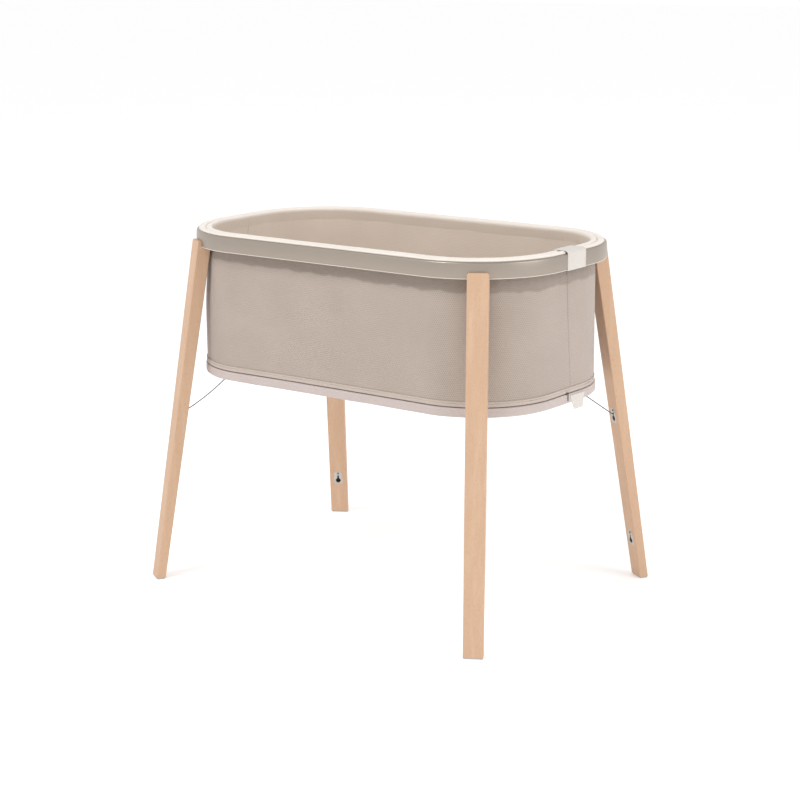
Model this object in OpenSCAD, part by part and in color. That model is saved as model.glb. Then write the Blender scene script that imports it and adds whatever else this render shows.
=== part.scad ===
// Oval bassinet hung in a metal rim on four splayed wooden legs.
// Origin on the floor under the middle, +X along the long side, -Y the front, +Z up.
// All sizes are in millimetres.

/* [Rim] */
// Half length of the rim's outer outline
rim_a = 463; // [430:1:480]
// Half width of the rim's outer outline
rim_b = 263; // [245:1:275]
// Corner radius of the rim's outer outline
rim_r = 203; // [190:1:210]
// Height of the rim's lower edge above the floor
rim_bottom = 750.5; // [749:0.5:752]
// Height of the rim's upper edge above the floor
rim_top = 785; // [783:0.5:787]
// Width of the rim's tube, from outer to inner face
rim_w = 20; // [18:1:20]
// Wall of the rim's tube
rim_wall = 1.5; // [1.2:0.1:2]

/* [Basket] */
// Gap from the rim's outer outline in to the mesh wall
wall_inset = 23.5; // [23:0.5:24]
// Thickness of each textile layer
cloth = 1.5; // [1:0.1:1.6]
// Height of the zip line above the floor
zip_z = 483; // [480:1:486]
// Height of the basket's underside above the floor
base_z = 462; // [460:1:464]
// Thickness of the base board
board_t = 6; // [5:1:7]
// Thickness of the mattress with its cover
mattress_t = 40; // [30:1:45]

/* [Legs] */
// Angle of a leg's outer face round from the long axis
leg_turn = 59; // [57:1:61]
// Distance of a leg's foot from the middle, along the long axis
leg_x = 442; // [441:1:444]
// Distance of a leg's foot from the middle, across
leg_y = 335; // [334:1:337]
// Lean of a leg's outer face, per millimetre of height
outer_slope = 0.155; // [0.153:0.001:0.157]
// Lean of a leg's inner face, per millimetre of height
inner_slope = 0.170; // [0.168:0.001:0.172]
// Depth of a leg at the floor
foot_depth = 20.4; // [19:0.2:22]
// Width of a leg at the floor
foot_w = 41.6; // [38:0.2:44]
// Width of a leg at the top
top_w = 44.4; // [42:0.2:46]
// Height of the tongue that covers the rim's face
tongue_z = 765; // [760:1:770]
// Thickness of the foot glide
glide_t = 3; // [2:0.5:4]

/* [Stays] */
// Height of the lower keyhole's round hole
key_low = 86; // [80:1:95]
// Height of the upper keyhole's round hole
key_high = 373; // [370:1:378]
// Keyhole plate's width
plate_w = 20; // [18:1:22]
// Keyhole plate's height
plate_h = 32.5; // [32:0.5:36]
// Diameter of the keyhole's round hole
key_d = 12.6; // [11:0.2:13]
// Width of the keyhole's slot
slot_w = 4.4; // [4:0.2:5]
// Length of the slot, from the round hole's middle to the seat
slot_run = 11.6; // [11:0.2:12.4]
// Diameter of the stay cable
cable_d = 2; // [1.6:0.2:2.4]
// How far inboard of the leg the stay meets the base
stay_reach = 105; // [100:1:115]

/* [Hidden] */
$fn = 96;
clear = 0.3;
lip_r = 2.2;
corner_x = rim_a - rim_r;
corner_y = rim_b - rim_r;
lean = atan(inner_slope);
seat_z = key_high + slot_run;
notch_z = rim_bottom - clear;
tuck_out = -wall_inset - cloth - 1;
tuck_in = tuck_out - cloth;
lining_out = tuck_in - 1;
lining_in = lining_out - cloth;
bed_inset = -lining_in + 2;
board_z = base_z + cloth;
bed_z = board_z + board_t + 0.2;
band_out = -wall_inset + 3;
band_top = zip_z - 1;
cloth_top = rim_top - 1;
tab_w = 68;
plate_t = 1.6;
plate_drop = 10;
screw_up = 18.8;
pocket_w = 12;
stay_steps = 20;
pocket_depth = 10;
ball_d = 7;
seam_gap = 0.3;
bolt_inset = rim_w / 2;
slide_y = 4;
slide_x = rim_a - wall_inset;

// Places its children, drawn for the rear right corner, at the corner with these signs.
module at_corner(sx, sy) {
    mirror([sx < 0 ? 1 : 0, 0, 0]) mirror([0, sy < 0 ? 1 : 0, 0]) children();
}

// Leg frame: +X out of the leg's outer face, Z up, origin at that face on the floor.
module on_leg() {
    translate([leg_x, leg_y, 0]) rotate([0, 0, leg_turn]) children();
}

// Distance of the leg's inner face behind the leg frame's origin at height z.
function inner_x(z) = -(foot_depth + inner_slope * z);

// Frame on the leg's inner face at height z: -X out of the wood, Z up along the face.
module on_inner_face(z) {
    on_leg() translate([inner_x(z), 0, z]) rotate([0, -lean, 0]) children();
}

// Sweeps a profile (X out from the rim's outline, Y up) round the rear half of the loop.
module half_loop(gap = 0) {
    run_x = 2 * corner_x;
    run_y = corner_y - gap;
    translate([-run_x / 2, rim_b, 0]) rotate([90, 0, 90]) linear_extrude(run_x) children();
    for (side = [0, 1]) mirror([side, 0, 0]) {
        translate([corner_x, corner_y, 0])
            rotate_extrude(angle = 90) translate([rim_r, 0]) children();
        translate([rim_a, corner_y, 0]) rotate([90, 0, 0]) linear_extrude(run_y) children();
    }
}

module front_half() {
    mirror([0, 1, 0]) children();
}

module full_loop() {
    half_loop() children();
    front_half() half_loop() children();
}

// Rounded plan outline, this far inside the rim's outer outline.
module plan(inset) {
    r = rim_r - inset;
    square([2 * corner_x, 2 * (corner_y + r)], center = true);
    square([2 * (corner_x + r), 2 * corner_y], center = true);
    for (sx = [-1, 1]) for (sy = [-1, 1]) translate([sx * corner_x, sy * corner_y]) circle(r);
}

// Rectangle from (x0, y0) to (x1, y1) with round corners of radius r.
module soft_rect(x0, y0, x1, y1, r) {
    translate([x0 + r, y0]) square([x1 - x0 - 2 * r, y1 - y0]);
    translate([x0, y0 + r]) square([x1 - x0, y1 - y0 - 2 * r]);
    for (x = [x0 + r, x1 - r]) for (y = [y0 + r, y1 - r]) translate([x, y]) circle(r, $fn = 32);
}

// One textile layer between two offsets and two heights.
module layer(x_in, x_out, z0, z1) {
    translate([x_in, z0]) square([x_out - x_in, z1 - z0]);
}

module rim_profile() {
    difference() {
        union() {
            soft_rect(-rim_w, rim_bottom, 0, rim_top, 4);
            translate([-lip_r, rim_bottom + lip_r]) circle(lip_r, $fn = 32);
        }
        soft_rect(-rim_w + rim_wall, rim_bottom + rim_wall, -rim_wall, rim_top - rim_wall, 2.5);
    }
}

// A bolt stands at each leg, in the middle of the rim's tube.
module at_bolt() {
    bolt_r = rim_r - bolt_inset;
    bolt_turn = 55;
    translate([corner_x + bolt_r * cos(bolt_turn), corner_y + bolt_r * sin(bolt_turn), 0])
        children();
}

module rim_half() {
    difference() {
        half_loop(seam_gap / 2) rim_profile();
        for (side = [0, 1]) mirror([side, 0, 0]) at_bolt() {
            translate([0, 0, rim_bottom - 1]) cylinder(d = 6.4, h = 5);
            translate([0, 0, rim_top - 5]) cylinder(d = 13, h = 8);
        }
    }
}

module rim_front() {
    color("#a0978a") front_half() rim_half();
}

module rim_rear() {
    color("#a0978a") rim_half();
}

// Plug inside the tube where the two halves of the rim meet.
module rim_joiner(side) {
    inner = rim_wall + 0.1;
    color("dimgray") translate([side * rim_a, 0, 0]) mirror([side < 0 ? 1 : 0, 0, 0])
        translate([0, 50, 0]) rotate([90, 0, 0]) linear_extrude(100)
            soft_rect(-rim_w + inner, rim_bottom + inner, -inner, rim_top - inner, 2.4);
}

module rim_joiner_left() {
    rim_joiner(-1);
}

module rim_joiner_right() {
    rim_joiner(1);
}

// Cross-section of the leg at height z, w wide, as a thin slice.
module leg_slice(z, w) {
    x1 = -outer_slope * z;
    translate([0, 0, z - 0.05]) linear_extrude(0.1)
        soft_rect(inner_x(z), -w / 2, x1, w / 2, 2.5);
}

module leg_blank() {
    hull() {
        leg_slice(glide_t + 0.05, foot_w);
        leg_slice(tongue_z - 3, top_w);
        leg_slice(tongue_z - 0.05, top_w - 6);
    }
}

// What the rim needs clear in the leg's top: its rounded lower edge and all above it.
module rim_seat() {
    seat_r = lip_r + clear;
    depth = 80;
    height = 60;
    translate([corner_x, corner_y, 0]) rotate_extrude() {
        translate([rim_r - depth, notch_z]) square([depth - lip_r, height]);
        translate([rim_r - depth, notch_z + seat_r]) square([depth + clear, height]);
        translate([rim_r - lip_r, notch_z + seat_r]) circle(seat_r, $fn = 32);
    }
}

// Plate recess and the pocket behind the keyhole.
module key_recess(z) {
    on_inner_face(z) {
        translate([-5, -plate_w / 2 - 0.1, -plate_drop - 0.1])
            cube([5 + plate_t + 0.05, plate_w + 0.2, plate_h + 0.2]);
        rotate([0, 90, 0]) cylinder(d = pocket_w, h = pocket_depth);
        translate([0, 0, slot_run]) rotate([0, 90, 0]) cylinder(d = pocket_w, h = pocket_depth);
        translate([0, -pocket_w / 2, 0]) cube([pocket_depth, pocket_w, slot_run]);
        translate([0, 0, screw_up]) rotate([0, 90, 0]) cylinder(d = 3, h = pocket_depth + 4);
    }
}

module leg() {
    difference() {
        on_leg() leg_blank();
        rim_seat();
        key_recess(key_low);
        key_recess(key_high);
        at_bolt() translate([0, 0, notch_z - 26]) cylinder(d = 10, h = 30);
    }
}

module leg_front_left() {
    color("#dfbb96") at_corner(-1, -1) leg();
}

module leg_front_right() {
    color("#dfbb96") at_corner(1, -1) leg();
}

module leg_rear_left() {
    color("#dfbb96") at_corner(-1, 1) leg();
}

module leg_rear_right() {
    color("#dfbb96") at_corner(1, 1) leg();
}

module foot(sx, sy) {
    color("#b9b4ab") at_corner(sx, sy) on_leg() linear_extrude(glide_t)
        soft_rect(-foot_depth + 1, -foot_w / 2 + 1, -1, foot_w / 2 - 1, 2);
}

module foot_front_left() {
    foot(-1, -1);
}

module foot_front_right() {
    foot(1, -1);
}

module foot_rear_left() {
    foot(-1, 1);
}

module foot_rear_right() {
    foot(1, 1);
}

// Keyhole plate, let in flush with the leg's inner face.
module key_plate(sx, sy, z) {
    color("silver") at_corner(sx, sy) on_inner_face(z) rotate([90, 0, 90]) difference() {
        linear_extrude(plate_t) soft_rect(-plate_w / 2, -plate_drop, plate_w / 2, plate_h - plate_drop, 3);
        translate([0, 0, -1]) cylinder(d = key_d, h = 4);
        translate([0, slot_run, -1]) cylinder(d = slot_w, h = 4);
        translate([-slot_w / 2, 0, -1]) cube([slot_w, slot_run, 4]);
        translate([0, screw_up, -1]) cylinder(d = 3.2, h = 4);
    }
}

module upper_plate_front_left() {
    key_plate(-1, -1, key_high);
}

module upper_plate_front_right() {
    key_plate(1, -1, key_high);
}

module upper_plate_rear_left() {
    key_plate(-1, 1, key_high);
}

module upper_plate_rear_right() {
    key_plate(1, 1, key_high);
}

module lower_plate_front_left() {
    key_plate(-1, -1, key_low);
}

module lower_plate_front_right() {
    key_plate(1, -1, key_low);
}

module lower_plate_rear_left() {
    key_plate(-1, 1, key_low);
}

module lower_plate_rear_right() {
    key_plate(1, 1, key_low);
}

module plate_screws() {
    color("#4b4740") for (sx = [-1, 1]) for (sy = [-1, 1]) for (z = [key_low, key_high])
        at_corner(sx, sy) on_inner_face(z) translate([0, 0, screw_up]) rotate([0, 90, 0]) {
            translate([0, 0, -0.9]) cylinder(d = 5, h = 0.9);
            translate([0, 0, -0.1]) cylinder(d = 2.9, h = 13);
        }
}

module leg_bolts() {
    floor_z = rim_bottom + rim_wall;
    color("#6b6a68") for (sx = [-1, 1]) for (sy = [-1, 1]) at_corner(sx, sy) at_bolt() {
        translate([0, 0, floor_z]) difference() {
            cylinder(d = 11, h = 5);
            translate([0, 0, 2]) cylinder(d = 5.8, h = 4, $fn = 6);
        }
        translate([0, 0, floor_z - 25]) cylinder(d = 6, h = 25.1);
    }
}

module leg_inserts() {
    color("#b08d57") for (sx = [-1, 1]) for (sy = [-1, 1]) at_corner(sx, sy) at_bolt()
        translate([0, 0, notch_z - 24]) difference() {
            cylinder(d = 9.96, h = 22);
            translate([0, 0, -1]) cylinder(d = 6.04, h = 24);
        }
}

module wall_half() {
    half_loop(seam_gap / 2) layer(-wall_inset - cloth, -wall_inset, zip_z + 2.4, cloth_top);
}

module wall_front() {
    color("#beafa0") front_half() wall_half();
}

module wall_rear() {
    color("#beafa0") wall_half();
}

module lining_half() {
    half_loop(seam_gap / 2) layer(lining_in, lining_out, zip_z + 5, cloth_top);
}

module lining_front() {
    color("#cdbfb0") front_half() lining_half();
}

module lining_rear() {
    color("#cdbfb0") lining_half();
}

// Soft roll that caps the rim's top and the layers' upper edges.
module binding_half() {
    half_loop(seam_gap / 2) {
        soft_rect(-38, rim_top + 0.1, -5, rim_top + 5, 2.4);
        soft_rect(-38, rim_top - 19, lining_in - 0.2, rim_top + 3, 3);
    }
}

module binding_front() {
    color("#efe8de") front_half() binding_half();
}

module binding_rear() {
    color("#efe8de") binding_half();
}

module hem_band() {
    color("#d8c9bd") full_loop()
        layer(-wall_inset + 0.1, -wall_inset + 1.1, zip_z + 2.4, zip_z + 12);
}

module zip_upper() {
    color("#6e655d") full_loop() layer(-wall_inset - cloth, -wall_inset + 0.2, zip_z + 0.2, zip_z + 2.2);
}

module zip_lower() {
    color("#6e655d") full_loop() layer(-wall_inset - cloth + 0.8, -wall_inset + 0.2, band_top + 0.1, zip_z - 0.2);
}

// The slider hangs at the end of the zip, at the basket's right end.
module zip_slider() {
    color("#55504a") translate([slide_x + 0.5, slide_y - 4, zip_z + 0.4]) {
        cube([3.3, 8, 1.8]);
        for (y = [1.6, 5.4]) translate([3.2, y, 0.3]) cube([2.4, 1, 2]);
    }
}

module zip_pull() {
    pivot_x = slide_x + 4.9;
    color("#3c3935") {
        translate([pivot_x, slide_y - 1.3, zip_z + 1.7]) rotate([-90, 0, 0]) cylinder(d = 1.2, h = 2.6);
        translate([pivot_x - 0.5, slide_y - 1.2, zip_z - 15]) cube([1, 2.4, 16.4]);
    }
}

module rim_tab() {
    reach = 1.1;
    color("#dcd8d0") translate([rim_a, -tab_w / 2, 0]) rotate([90, 0, 0]) mirror([0, 0, 1])
        linear_extrude(tab_w) {
            layer(0.05, reach, rim_bottom - 1, rim_top + 6.2);
            layer(-39.2, reach, rim_top + 5.1, rim_top + 6.2);
            layer(-39.2, -38.1, rim_top - 18, rim_top + 6.2);
        }
}

module tucked_half() {
    half_loop(seam_gap / 2) layer(tuck_in, tuck_out, board_z, cloth_top - 9);
}

module tucked_wall_front() {
    color("#b3a596") front_half() tucked_half();
}

module tucked_wall_rear() {
    color("#b3a596") tucked_half();
}

module base_band() {
    color("#cfc0b8") full_loop() difference() {
        soft_rect(tuck_out, base_z, band_out, band_top, 2.4);
        layer(tuck_out - 1, tuck_out + 0.02, base_z - 1, band_top + 1);
    }
}

module base_cover() {
    color("#c8bab0") translate([0, 0, base_z]) linear_extrude(cloth) plan(-tuck_out + 0.05);
}

module base_board() {
    color("#b9a389") translate([0, 0, board_z]) linear_extrude(board_t) plan(bed_inset - 1);
}

// Woven pull tab sewn under the band at the right end.
module base_tab() {
    color("#e2ded8") translate([rim_a + band_out + 0.1, 0, 0]) rotate([90, 0, 90])
        linear_extrude(1.2)
            polygon([[14, band_top - 4], [70, band_top - 4], [62, base_z - 16], [30, base_z - 16]]);
}

// Line on the base where a stay comes out from under it.
module at_anchor() {
    on_leg() translate([inner_x(seat_z) - stay_reach, 0, base_z]) children();
}

module anchor(sx, sy) {
    color("#8d8a84") at_corner(sx, sy) at_anchor() translate([0, 0, -3]) difference() {
        cylinder(d = 16, h = 3);
        translate([0, 0, -1]) cylinder(d = 5, h = 3);
    }
}

module anchor_front_left() {
    anchor(-1, -1);
}

module anchor_front_right() {
    anchor(1, -1);
}

module anchor_rear_left() {
    anchor(-1, 1);
}

module anchor_rear_right() {
    anchor(1, 1);
}

module mattress_core() {
    color("#f2efe9") translate([0, 0, bed_z + 1.8]) linear_extrude(mattress_t - 3.6)
        plan(bed_inset + 1.8);
}

module mattress_cover() {
    color("#f6f4ef") translate([0, 0, bed_z]) difference() {
        linear_extrude(mattress_t) plan(bed_inset);
        translate([0, 0, 1.5]) linear_extrude(mattress_t - 3) plan(bed_inset + 1.5);
    }
}

// Point of a stay's free run at fraction u, in the leg's frame. A slack stay hangs by sag.
function stay_point(u, sag) = [
    inner_x(seat_z) - 3 - u * (stay_reach - 3),
    0,
    seat_z - 0.5 + u * (base_z - 4.3 - seat_z) - 4 * sag * u * (1 - u)
];

// A stay's route: straight through the plate, then out to the base.
function stay_route(sag) = concat(
    [[inner_x(seat_z) + 3 * cos(lean), 0, seat_z + 3 * sin(lean)]],
    [for (i = [0 : stay_steps]) stay_point(i / stay_steps, sag)]
);

// Direction of a route at point i, from its neighbours.
function heading(route, i) =
    let (step = route[min(i + 1, len(route) - 1)] - route[max(i - 1, 0)]) step / norm(step);

// Round cord of diameter d along a route that lies in the leg frame's XZ plane.
module cord(route, d) {
    sides = 8;
    rings = len(route);
    points = [for (i = [0 : rings - 1]) for (k = [0 : sides - 1])
        let (t = heading(route, i), turn = 360 * k / sides)
            route[i] + d / 2 * [-t[2] * cos(turn), sin(turn), t[0] * cos(turn)]];
    walls = [for (i = [0 : rings - 2]) for (k = [0 : sides - 1])
        let (a = i * sides + k, b = i * sides + (k + 1) % sides)
            [a, b, b + sides, a + sides]];
    ends = [
        [for (k = [sides - 1 : -1 : 0]) k],
        [for (k = [0 : sides - 1]) (rings - 1) * sides + k]
    ];
    polyhedron(points, concat(walls, ends));
}

module stay(sx, sy, sag) {
    color("#85847f") at_corner(sx, sy) on_leg() cord(stay_route(sag), cable_d);
}

module stay_front_left() {
    stay(-1, -1, 5);
}

module stay_front_right() {
    stay(1, -1, 0);
}

module stay_rear_left() {
    stay(-1, 1, 5);
}

module stay_rear_right() {
    stay(1, 1, 0);
}

module stop(sx, sy) {
    color("#5c5b58") at_corner(sx, sy) on_inner_face(seat_z) difference() {
        translate([plate_t + 0.4 + ball_d / 2, 0, 0]) sphere(d = ball_d, $fn = 48);
        rotate([0, 90, 0]) translate([0, 0, -1]) cylinder(d = cable_d + 0.1, h = 5);
    }
}

module stop_front_left() {
    stop(-1, -1);
}

module stop_front_right() {
    stop(1, -1);
}

module stop_rear_left() {
    stop(-1, 1);
}

module stop_rear_right() {
    stop(1, 1);
}

rim_front();
rim_rear();
rim_joiner_left();
rim_joiner_right();
leg_front_left();
leg_front_right();
leg_rear_left();
leg_rear_right();
foot_front_left();
foot_front_right();
foot_rear_left();
foot_rear_right();
upper_plate_front_left();
upper_plate_front_right();
upper_plate_rear_left();
upper_plate_rear_right();
lower_plate_front_left();
lower_plate_front_right();
lower_plate_rear_left();
lower_plate_rear_right();
plate_screws();
leg_bolts();
leg_inserts();
wall_front();
wall_rear();
lining_front();
lining_rear();
binding_front();
binding_rear();
hem_band();
zip_upper();
zip_lower();
zip_slider();
zip_pull();
rim_tab();
tucked_wall_front();
tucked_wall_rear();
base_band();
base_cover();
base_board();
base_tab();
anchor_front_left();
anchor_front_right();
anchor_rear_left();
anchor_rear_right();
mattress_core();
mattress_cover();
stay_front_left();
stay_front_right();
stay_rear_left();
stay_rear_right();
stop_front_left();
stop_front_right();
stop_rear_left();
stop_rear_right();
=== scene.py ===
import math

import bmesh
import bpy
import numpy as np
from mathutils import Matrix, Vector


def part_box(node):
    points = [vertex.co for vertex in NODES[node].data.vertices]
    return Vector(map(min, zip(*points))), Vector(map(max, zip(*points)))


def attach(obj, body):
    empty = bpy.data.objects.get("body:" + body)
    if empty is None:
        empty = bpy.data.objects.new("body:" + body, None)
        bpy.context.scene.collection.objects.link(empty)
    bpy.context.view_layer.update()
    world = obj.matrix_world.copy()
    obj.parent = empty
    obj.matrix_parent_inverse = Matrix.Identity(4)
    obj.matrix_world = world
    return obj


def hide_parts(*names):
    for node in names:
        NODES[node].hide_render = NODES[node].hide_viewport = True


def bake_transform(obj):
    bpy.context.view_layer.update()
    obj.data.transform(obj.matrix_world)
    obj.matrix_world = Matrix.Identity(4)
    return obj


# A bassinet hung in an oval metal rim on four splayed beech legs. Metres, +X along the
# long side, -Y the front, +Z up, origin on the floor under the middle.
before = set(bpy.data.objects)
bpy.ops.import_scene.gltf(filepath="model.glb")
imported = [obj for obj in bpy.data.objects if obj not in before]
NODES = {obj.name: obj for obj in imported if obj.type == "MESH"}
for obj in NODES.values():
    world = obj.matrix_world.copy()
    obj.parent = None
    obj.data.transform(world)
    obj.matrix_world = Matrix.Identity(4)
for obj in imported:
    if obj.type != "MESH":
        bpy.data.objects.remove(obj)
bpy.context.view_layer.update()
MM = 0.001
TAU = 2 * math.pi
UP = np.array([0.0, 0.0, 1.0])
HALVES = ("front", "rear")
CORNERS = {"front_left": (-1, -1), "front_right": (1, -1),
           "rear_left": (-1, 1), "rear_right": (1, 1)}

# ---------------------------------------------------------------- sizes read from the frame
RIM_LOW, RIM_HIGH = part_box("rim_rear")
HALF_LEN, HALF_WID = RIM_HIGH.x, RIM_HIGH.y
CORNER_R = 0.203
END_RUN = HALF_WID - CORNER_R
SIDE_RUN = HALF_LEN - CORNER_R
QUARTER = END_RUN + SIDE_RUN + CORNER_R * math.pi / 2
LOOP = 4 * QUARTER
WALL_LOW, WALL_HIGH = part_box("wall_rear")
LINING_LOW, LINING_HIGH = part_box("lining_rear")
TUCK_LOW, TUCK_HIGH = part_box("tucked_wall_rear")
BAND_LOW, BAND_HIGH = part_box("base_band")
BED_LOW, BED_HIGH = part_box("mattress_cover")
BIND_LOW, BIND_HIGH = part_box("binding_rear")
WALL_X = WALL_HIGH.y - HALF_WID
LINING_X = LINING_HIGH.y - HALF_WID
TUCK_X = TUCK_HIGH.y - HALF_WID
BAND_X = BAND_HIGH.y - HALF_WID
BED_X = BED_HIGH.y - HALF_WID
CLOTH = 1.5 * MM                  # the CAD walls' thickness
LINING_FACE = LINING_X - CLOTH
SEAM_GAP = 0.3 * MM               # between the front and rear halves
SEAM_LEAN = 0.020                 # of the end seams, at the hem
LEFT_BELLY = 8 * MM               # of the cloth at the left end
RIM_SHADOW_EDGE = RIM_LOW.z - 27 * MM # lower edge of the rim's painted shadow on the wall's mesh
RIM_SHADOW_SLOPE = 0.015              # of that edge along the long side
STITCH = 3.6 * MM                 # pitch of the plain seams

# ---------------------------------------------------------------- sizes of legs and stays
LEG_TURN = math.radians(59)       # from +X to the leg's outer face
LEG_FOOT = (0.442, 0.335)
FOOT_DEPTH, INNER_SLOPE = 20.4 * MM, 0.170
SEAT_Z, BASE_Z, STAY_REACH = 384.6 * MM, 462 * MM, 105 * MM
CABLE_R = 1.0 * MM
KEY_LOW, KEY_HIGH, KEY_RUN = 86 * MM, 373 * MM, 11.6 * MM

# ---------------------------------------------------------------- camera and lights
CAMERA_PLACE, CAMERA_AIM = (2.6268, -3.4220, 1.4312), (0, 0, 0.45)
CAMERA_ROLL = 0.41                # degrees
LENS, LENS_SHIFT = 89.78, (0.0028, -0.0220)
LIGHTS = (("key", (-1.0, -3.2, 4.8), 1.5, 106), ("side", (4.4, 0.5, 2.4), 2.6, 62))
HORIZON, ZENITH = (0.25, 1.0), (1.0, 0.56)  # height of direction, brightness
FLOOR_SPAN = 30


# ---------------------------------------------------------------- surfaces
def loop_line(s):
    """Point and outward normal at length s round the rim's outline, from the right end's
    middle. A quarter is half an end, a quarter circle and half a side; the other three
    quarters are its mirror images."""
    s = np.mod(np.asarray(s, float), LOOP)
    quarter = np.minimum((s / QUARTER).astype(int), 3)
    u = s - quarter * QUARTER
    u = np.where(quarter % 2 == 1, QUARTER - u, u)
    turn = np.clip((u - END_RUN) / CORNER_R, 0, math.pi / 2)
    x = SIDE_RUN + CORNER_R * np.cos(turn)
    x = x - np.maximum(u - END_RUN - CORNER_R * math.pi / 2, 0)
    y = np.minimum(u, END_RUN) + CORNER_R * np.sin(turn)
    sx = np.where((quarter == 1) | (quarter == 2), -1.0, 1.0)
    sy = np.where(quarter >= 2, -1.0, 1.0)
    point = np.stack([sx * x, sy * y], -1)
    normal = np.stack([sx * np.cos(turn), sy * np.sin(turn)], -1)
    return point, normal


def raised(flat, z):
    """Points in X and Y, given their heights."""
    return np.concatenate([flat, np.broadcast_to(z, flat.shape[:-1])[..., None]], -1)


def lengths(line):
    """How far along a line of points each of them is."""
    return np.concatenate([[0], np.cumsum(np.linalg.norm(np.diff(line, axis=0), axis=1))])


def round_loop(s, x, z):
    """Points of a profile carried round the rim's outline: the outline's point plus x times
    its normal, at height z. s has one value a ring; x and z are one row a ring or shared."""
    point, normal = loop_line(s)
    return raised(point[:, None] + np.atleast_2d(x)[..., None] * normal[:, None], z)


def swell(s, z):
    """How far the basket's left end bellies out at a height: a bell along the outline about
    the end's middle, times a smooth rise below the rim."""
    gap = np.abs(np.mod(s, LOOP) - LOOP / 2)
    rise = np.clip((RIM_LOW.z - z) / 0.15, 0, 1)
    return LEFT_BELLY * np.exp(-(gap / 0.42) ** 4) * rise * rise * (3 - 2 * rise)


def half_span(half, rings):
    """Lengths along one half of the outline, rear or front, less half the seam gap at each
    end."""
    start = 0 if half == "rear" else LOOP / 2
    gap = SEAM_GAP / 2
    return np.linspace(start + gap, start + LOOP / 2 - gap, rings)


def whole_span(rings):
    """Lengths round the whole outline, closing on the first."""
    return np.arange(rings) * (LOOP / rings)


def link(name, mesh):
    """A new object of a mesh, at the origin, shaded smooth."""
    mesh.shade_smooth()
    piece = bpy.data.objects.new(name, mesh)
    bpy.context.scene.collection.objects.link(piece)
    return piece


def tidy_normals(mesh):
    """Points a closed mesh's faces outwards."""
    work = bmesh.new()
    work.from_mesh(mesh)
    bmesh.ops.recalc_face_normals(work, faces=work.faces)
    work.to_mesh(mesh)
    work.free()


def skin(name, points, wrap_u=False, wrap_v=False, caps=False, flip=False):
    """A grid of points (u, v, 3) as a quad surface with a UV map in metres, measured along
    the middle row and column. It may close on itself either way, and caps closes a tube's
    two ends."""
    nu, nv = points.shape[:2]
    cu, cv = nu - (not wrap_u), nv - (not wrap_v)
    i, j = np.meshgrid(np.arange(cu), np.arange(cv), indexing="ij")
    i2, j2 = (i + 1) % nu, (j + 1) % nv
    quads = np.stack([i * nv + j, i2 * nv + j, i2 * nv + j2, i * nv + j2], -1).reshape(-1, 4)
    row = points[:, nv // 2]
    column = points[nu // 2]
    if wrap_u:
        row = np.concatenate([row, row[:1]])
    if wrap_v:
        column = np.concatenate([column, column[:1]])
    along, across = lengths(row), lengths(column)
    corner_u = np.stack([along[i], along[i + 1], along[i + 1], along[i]], -1)
    corner_v = np.stack([across[j], across[j], across[j + 1], across[j + 1]], -1)
    uv = np.stack([corner_u, corner_v], -1).reshape(-1, 2)
    if flip:
        quads = quads[:, ::-1]
        uv = uv.reshape(-1, 4, 2)[:, ::-1].reshape(-1, 2)
    faces = quads.tolist()
    if caps:
        faces += [list(range(nv)), list(range((nu - 1) * nv, nu * nv))]
        uv = np.concatenate([uv, np.zeros((2 * nv, 2))])
    mesh = bpy.data.meshes.new(name)
    mesh.from_pydata(points.reshape(-1, 3).tolist(), [], faces)
    layer = mesh.uv_layers.new(name="UVMap")
    layer.data.foreach_set("uv", uv.astype(np.float32).ravel())
    mesh.update()
    if caps or (wrap_u and wrap_v):
        tidy_normals(mesh)
    return link(name, mesh)


def thicken(piece, thickness):
    """Gives a sheet its thickness, half to each side."""
    wall = piece.modifiers.new("thickness", "SOLIDIFY")
    wall.thickness = thickness
    wall.offset = 0


def subdivide(piece):
    """Rounds a piece with one level of subdivision surface."""
    smooth = piece.modifiers.new("smooth", "SUBSURF")
    smooth.levels = smooth.render_levels = 1


def arc(centre_x, centre_z, radius, start, end, count):
    """Points of an arc as x and z, at even angles from one to another in degrees."""
    turn = np.radians(np.linspace(start, end, count))
    return centre_x + radius * np.cos(turn), centre_z + radius * np.sin(turn)


def outline(*parts):
    """Parts of a profile, each an x and a z, joined into one."""
    parts = [np.broadcast_arrays(*part) for part in parts]
    return tuple(np.concatenate([np.atleast_1d(part[k]) for part in parts]) for k in (0, 1))


def rounded(x0, z0, x1, z1, radius, steps):
    """Closed outline of a rectangle with round corners, each of steps + 1 points."""
    middles = ((x1 - radius, z1 - radius), (x0 + radius, z1 - radius),
               (x0 + radius, z0 + radius), (x1 - radius, z0 + radius))
    return outline(*(arc(*middle, radius, 90 * k, 90 * k + 90, steps + 1)
                     for k, middle in enumerate(middles)))


def tube(name, route, radius, sides=12, lobes=0, lobe=0.0, lay=0.02):
    """A round cord along a route: each point plus the radius times two directions square to
    the route, at even angles. A rope's radius swells at its lobes, which turn once in every
    lay of length."""
    route = np.asarray(route, float)
    step = np.gradient(route, axis=0)
    tangent = step / np.linalg.norm(step, axis=1, keepdims=True)
    aside = np.cross(tangent, UP)
    flat = np.linalg.norm(aside, axis=1, keepdims=True)
    aside = np.where(flat > 1e-6, aside / np.maximum(flat, 1e-9), [1.0, 0.0, 0.0])
    above = np.cross(aside, tangent)
    angle = np.arange(sides) * TAU / sides
    girth = 1 + lobe * np.cos(lobes * (angle[None] - TAU * lengths(route)[:, None] / lay))
    reach = (radius * girth)[..., None]
    points = route[:, None] + reach * (
        np.cos(angle)[None, :, None] * aside[:, None]
        + np.sin(angle)[None, :, None] * above[:, None])
    return skin(name, points, wrap_v=True, caps=True)


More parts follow.
